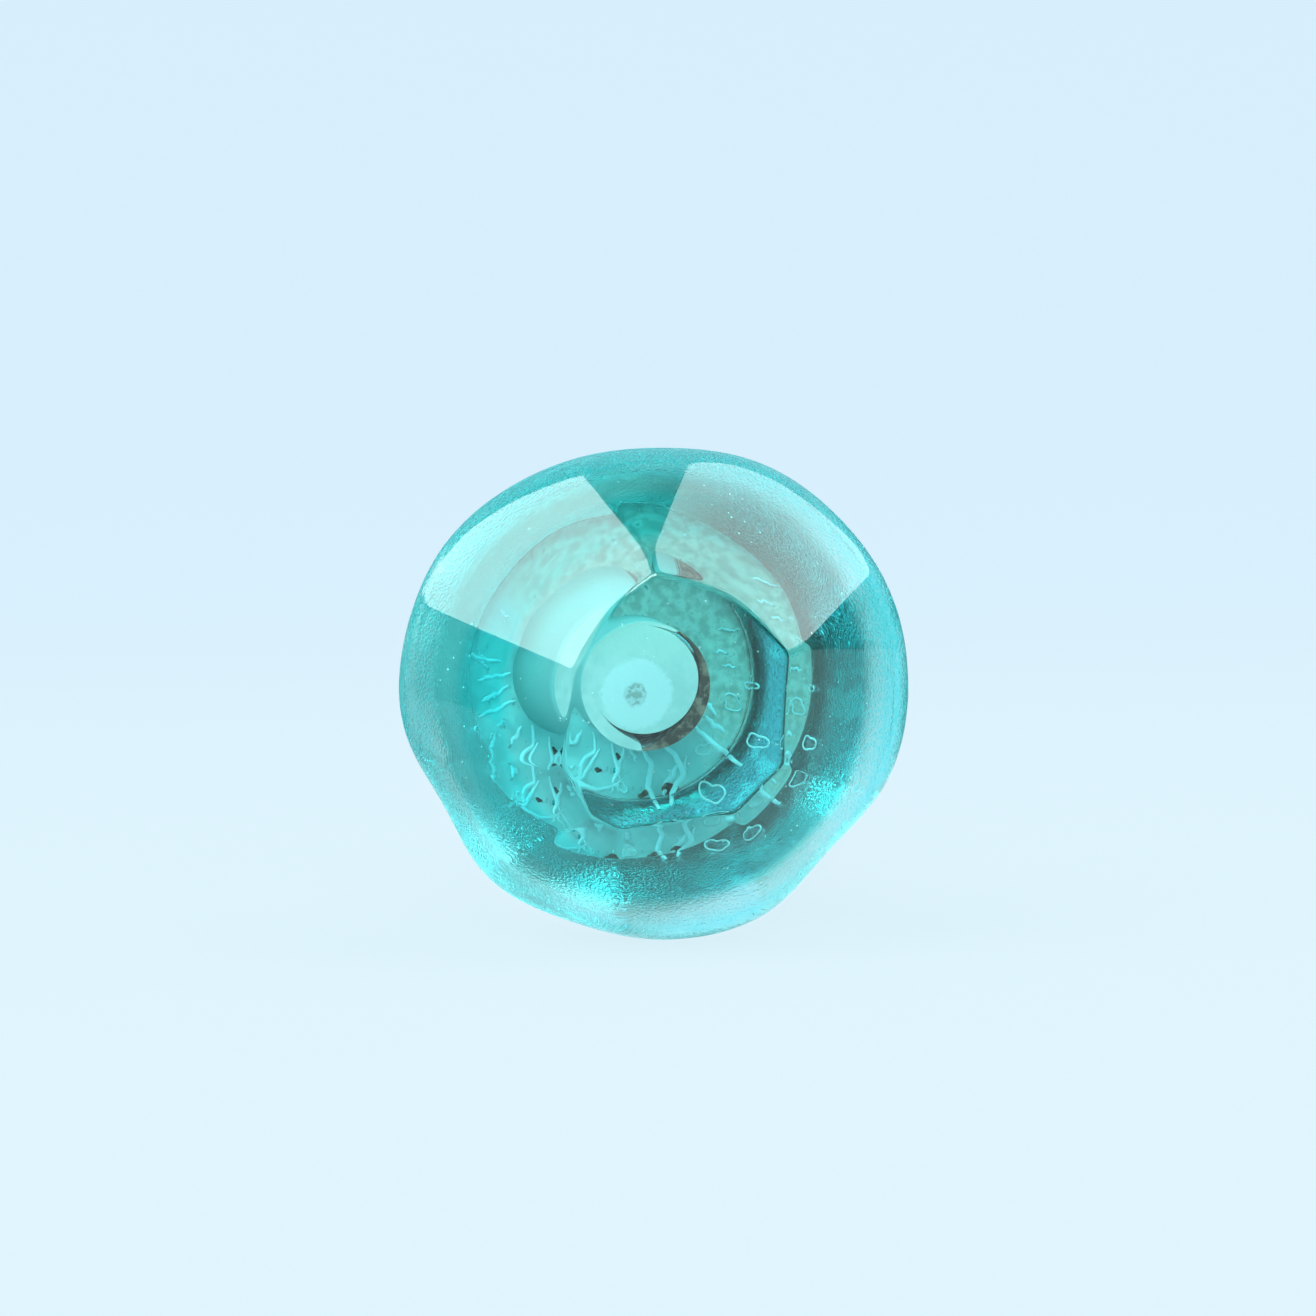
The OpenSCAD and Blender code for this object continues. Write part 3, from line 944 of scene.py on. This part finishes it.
class KNOB_OT_metalwork(bpy.types.Operator):
    """Build the spun cup and the turned foot"""
    bl_idname = "knob.metalwork"
    bl_label = "Cup and foot"

    def execute(self, context):
        wall, hole = RESIN_BACK - CUP_BACK, SCREW_HOLE
        inner = CUP_R - wall
        cup = rounded([(inner, CUP_TOP), (CUP_R, CUP_TOP), (CUP_R, CUP_BACK + wall), (inner, CUP_BACK),
                       (hole, CUP_BACK), (hole, CUP_BACK + wall), (inner, CUP_BACK + wall)], 0.35)
        light, dark = colour(0.66, 0.65, 0.60), colour(0.48, 0.47, 0.43)
        piece = revolve("spun_cup", cup, 128)
        nickel = plated_material("plated_cup", light, dark, 0.26, True)
        dress(piece, nickel, "knob", "plated_cup", "collar_cup")
        recess, depth = 4.58, 3.4
        foot_edge, shoulder_edge, waist, shoulder = 1.4, 1.0, 5.6, 7.6
        middle = (foot_edge + BASE_TOP - shoulder_edge) / 2
        half = (BASE_TOP - shoulder_edge - foot_edge) / 2
        t = np.radians(np.linspace(90, 180, 20))[:, None]
        upper = np.concatenate([shoulder + (shoulder - waist) * np.cos(t), middle + half * np.sin(t)], 1)
        t = np.radians(np.linspace(180, 270, 24))[1:, None]
        lower = np.concatenate([FOOT_R + (FOOT_R - waist) * np.cos(t), middle + half * np.sin(t)], 1)
        top = [(hole, BASE_TOP), (shoulder, BASE_TOP), (shoulder, BASE_TOP - shoulder_edge + 0.02)]
        corners = rounded(top, 0.25, closed=False)
        foot = [(FOOT_R, foot_edge - 0.02), (FOOT_R, 0), (recess, 0), (recess, depth), (hole, depth)]
        foot = rounded(foot, 0.25, closed=False)
        piece = revolve("turned_foot", np.concatenate([corners, upper, lower, foot]), 128)
        nickel = plated_material("plated_foot", light, dark, 0.24, True)
        dress(piece, nickel, "knob", "plated_base", "base_stem")
        return {"FINISHED"}


class KNOB_OT_screw(bpy.types.Operator):
    """Build the screw with its helical thread"""
    bl_idname = "knob.screw"
    bl_label = "Screw"

    def execute(self, context):
        grid, start, end = screw_grid(context.scene.knob_fixings)
        piece = turned("threaded_screw", grid, start, end, 50)
        light, dark = colour(0.80, 0.80, 0.77), colour(0.60, 0.61, 0.60)
        zinc = plated_material("zinc_screw", light, dark, 0.32, spots=0.3)
        dress(piece, zinc, "knob", "zinc_steel", "screw")
        return {"FINISHED"}


class KNOB_OT_nuts(bpy.types.Operator):
    """Build the lock nut and the fixing nut"""
    bl_idname = "knob.nuts"
    bl_label = "Nuts"

    def execute(self, context):
        light, dark = colour(0.78, 0.78, 0.74), colour(0.58, 0.59, 0.57)
        zinc = plated_material("zinc_nut", light, dark, 0.28, spots=0.3)
        for name, node, body in (("jam_nut", "lock_nut", "knob"), ("hexagon_nut", "fixing_nut", "nut")):
            back, front, _ = span(node)
            piece = turned(name, nut_grid(back, front, context.scene.knob_fixings), smooth_angle=25)
            dress(piece, zinc, body, "zinc_nut", node)
        return {"FINISHED"}


class KNOB_OT_washers(bpy.types.Operator):
    """Build the flat washer and the split spring washer"""
    bl_idname = "knob.washers"
    bl_label = "Washers"

    def execute(self, context):
        back, front, radius = span("flat_washer")
        hole = SCREW_HOLE
        profile = rounded([(hole, front), (radius, front), (radius, back), (hole, back)], 0.16)
        piece = revolve("plain_washer", profile, 120)
        light, dark = colour(0.80, 0.80, 0.77), colour(0.62, 0.63, 0.61)
        zinc = plated_material("zinc_washer", light, dark, 0.30, spots=0.2)
        dress(piece, zinc, "washer_stack", "zinc_nut", "flat_washer")
        back, front, radius = span("spring_washer")
        thickness, split, bearing_radius = 0.88, 0.42, 3
        start = math.asin(split / bearing_radius)
        turn = np.linspace(start, TAU - start, 110)
        rise = (front - back - thickness) * (turn / TAU)
        middle = (radius + hole) / 2
        path = np.stack([middle * np.cos(turn), middle * np.sin(turn), back + thickness / 2 + rise], -1)
        side = np.stack([np.cos(turn), np.sin(turn), 0 * turn], -1)
        up = np.tile([0.0, 0.0, 1.0], (len(turn), 1))
        half_w, half_t = (radius - hole) / 2, thickness / 2
        section = [(-half_w, half_t), (half_w, half_t), (half_w, -half_t), (-half_w, -half_t)]
        section = rounded(section, 0.14, 3)[::-1]
        piece = joined("split_washer", [swept(path, side, up, section, False)], 35)
        light, dark = colour(0.34, 0.34, 0.35), colour(0.20, 0.20, 0.21)
        steel = plated_material("dark_spring_steel", light, dark, 0.36)
        dress(piece, steel, "washer_stack", "spring_steel", "spring_washer")
        return {"FINISHED"}


class KNOB_OT_stage(bpy.types.Operator):
    """Set up the lit sheet, the room light, the two softboxes, the fill lamp and the camera"""
    bl_idname = "knob.stage"
    bl_label = "Stage"

    def execute(self, context):
        scene = context.scene
        studio, glass = scene.knob_studio, scene.knob_glass
        scene.view_settings.view_transform = "Standard"
        piece = bpy.data.objects["faceted_glass"]
        co = np.zeros(len(piece.data.vertices) * 3, np.float32)
        piece.data.vertices.foreach_get("co", co)
        floor = float(co.reshape(-1, 3)[:, 2].min()) / MM
        bend, wall = 350.0, 650.0
        arc = np.radians(np.linspace(0, 90, 33))
        ahead = np.concatenate([[-1500.0, -400.0, -100.0, 200.0], wall - bend + bend * np.sin(arc), [wall]])
        height = np.concatenate([np.zeros(4), bend - bend * np.cos(arc), [2200.0]]) + floor
        across = np.array([-2500.0, -400.0, 0.0, 400.0, 2500.0])
        grid = np.stack(np.broadcast_arrays(across[None, :], height[:, None], -ahead[:, None]), -1)
        faces = grid_faces(*grid.shape[:2], False, False)[:, ::-1]
        sheet = write_mesh("lit_sheet", grid.reshape(-1, 3), faces, [])
        sheet.data.materials.append(stage_material(studio))
        world = bpy.data.worlds.new("room_light")
        world.use_nodes = True
        world.node_tree.nodes["Background"].inputs["Color"].default_value = tuple(studio.sky_colour)
        scene.world = world
        middle = Vector((glass.rim_shift[0], -glass.rim_z * MM, glass.rim_shift[1]))
        wide = studio.softbox_angle
        for name, bearing, tilt, width, power in (
                ("left_softbox", 136, 75, wide, studio.left_strength),
                ("right_softbox", 48, 88, wide, studio.right_strength),
                ("fill_lamp", 100, 36, wide / 2, studio.fill_strength)):
            lamp = bpy.data.lights.new(name, "SUN")
            lamp.angle = width
            lamp.energy = power
            b, t = math.radians(bearing), math.radians(tilt)
            toward = Vector((math.sin(t) * math.cos(b), -math.cos(t), math.sin(t) * math.sin(b)))
            stand(lamp, middle, toward, 1.0)
        camera = bpy.data.cameras.new("camera")
        camera.sensor_width = 36.0
        camera.lens = camera.sensor_width * studio.distance / studio.frame_width
        camera.clip_start, camera.clip_end = 0.01, 20.0
        a, e = studio.azimuth, studio.elevation
        toward = Vector((math.sin(a) * math.cos(e), -math.cos(a) * math.cos(e), math.sin(e)))
        right = Vector((math.cos(a), math.sin(a), 0.0))
        above = right.cross(-toward)
        aim = middle + right * studio.aim_offset[0] + above * studio.aim_offset[1]
        scene.camera = stand(camera, aim, toward, studio.distance)
        return {"FINISHED"}


class KNOB_PT_panel(bpy.types.Panel):
    """Buttons that build the knob, piece by piece"""
    bl_idname = "KNOB_PT_panel"
    bl_label = "Glass knob"
    bl_space_type = "VIEW_3D"
    bl_region_type = "UI"
    bl_category = "Knob"

    def draw(self, context):
        for operator in OPERATORS:
            self.layout.operator(operator.bl_idname)


OPERATORS = (KNOB_OT_glass, KNOB_OT_setting, KNOB_OT_resin, KNOB_OT_metalwork, KNOB_OT_screw, KNOB_OT_nuts,
             KNOB_OT_washers, KNOB_OT_stage)
SETTINGS = (("knob_glass", KnobGlassSettings), ("knob_fixings", KnobFixingSettings),
            ("knob_studio", KnobStudioSettings))


def register():
    for _, group in SETTINGS:
        bpy.utils.register_class(group)
    for operator in OPERATORS:
        bpy.utils.register_class(operator)
    bpy.utils.register_class(KNOB_PT_panel)
    for name, group in SETTINGS:
        setattr(bpy.types.Scene, name, PointerProperty(type=group))


def unregister():
    for name, _ in SETTINGS:
        delattr(bpy.types.Scene, name)
    bpy.utils.unregister_class(KNOB_PT_panel)
    for operator in reversed(OPERATORS):
        bpy.utils.unregister_class(operator)
    for _, group in reversed(SETTINGS):
        bpy.utils.unregister_class(group)


def main():
    register()
    for operator in OPERATORS:
        area, name = operator.bl_idname.split(".")
        getattr(getattr(bpy.ops, area), name)()


if __name__ == "__main__":
    main()
